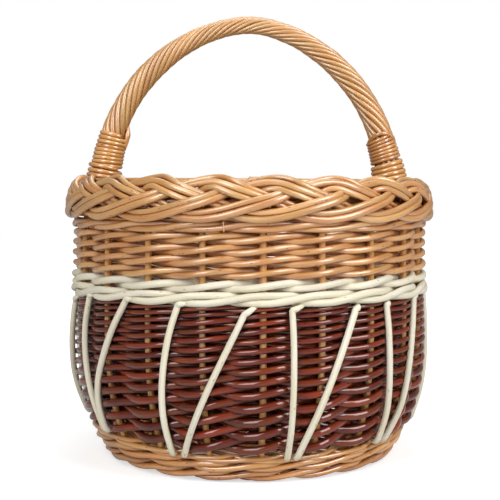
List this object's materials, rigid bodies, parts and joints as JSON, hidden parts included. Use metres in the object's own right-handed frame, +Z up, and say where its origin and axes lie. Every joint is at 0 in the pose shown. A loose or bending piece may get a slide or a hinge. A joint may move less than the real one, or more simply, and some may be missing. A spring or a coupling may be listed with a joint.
{
  "type": "mushroom foraging basket",
  "caption": "Round willow basket for gathering mushrooms, with brown, white and honey woven bands, slanting white strips, a plaited border and a roped bow handle bound at both feet.",
  "frame": {"origin": "middle of the basket's footprint, on the surface it stands on", "axes": "+Z up, X along the handle's bow from its left foot to its right foot, and -Y the side that the picture shows as the front"},
  "size_m": [0.3181, 0.3181, 0.3774],
  "materials": {
    "honey_willow": "glossy varnish",
    "brown_willow": "glossy varnish",
    "peeled_willow": "satin",
    "stake_willow": "glossy varnish",
    "binding_willow": "satin"
  },
  "bodies": {
    "root": {"base_stick_pierced_1": "stake_willow", "base_stick_pierced_2": "stake_willow", "base_stick_pierced_3": "stake_willow", "base_stick_through_1": "stake_willow", "base_stick_through_2": "stake_willow", "base_weave_a": "honey_willow", "base_weave_b": "honey_willow", "binding_left": "binding_willow", "binding_right": "binding_willow", "border_plait_1": "honey_willow", "border_plait_2": "honey_willow", "brown_weave_a": "brown_willow", "brown_weave_b": "brown_willow", "handle_bow": "stake_willow", "handle_roping": "honey_willow", "honey_weave_a": "honey_willow", "honey_weave_b": "honey_willow", "stake_01": "stake_willow", "stake_02": "stake_willow", "stake_03": "stake_willow", "stake_04": "stake_willow", "stake_05": "stake_willow", "stake_06": "stake_willow", "stake_07": "stake_willow", "stake_08": "stake_willow", "stake_09": "stake_willow", "stake_10": "stake_willow", "stake_11": "stake_willow", "stake_12": "stake_willow", "stake_13": "stake_willow", "stake_14": "stake_willow", "stake_15": "stake_willow", "stake_16": "stake_willow", "stake_17": "stake_willow", "stake_18": "stake_willow", "stake_19": "stake_willow", "stake_20": "stake_willow", "top_wale_a": "honey_willow", "top_wale_b": "honey_willow", "top_wale_c": "honey_willow", "upsett_wale_a": "honey_willow", "upsett_wale_b": "honey_willow", "upsett_wale_c": "honey_willow", "white_strips_01": "peeled_willow", "white_strips_02": "peeled_willow", "white_strips_03": "peeled_willow", "white_strips_04": "peeled_willow", "white_strips_05": "peeled_willow", "white_strips_06": "peeled_willow", "white_strips_07": "peeled_willow", "white_strips_08": "peeled_willow", "white_strips_09": "peeled_willow", "white_strips_10": "peeled_willow", "white_wale_a": "peeled_willow", "white_wale_b": "peeled_willow", "white_wale_c": "peeled_willow", "white_weave_a": "peeled_willow", "white_weave_b": "peeled_willow"}
  },
  "joints": []
}
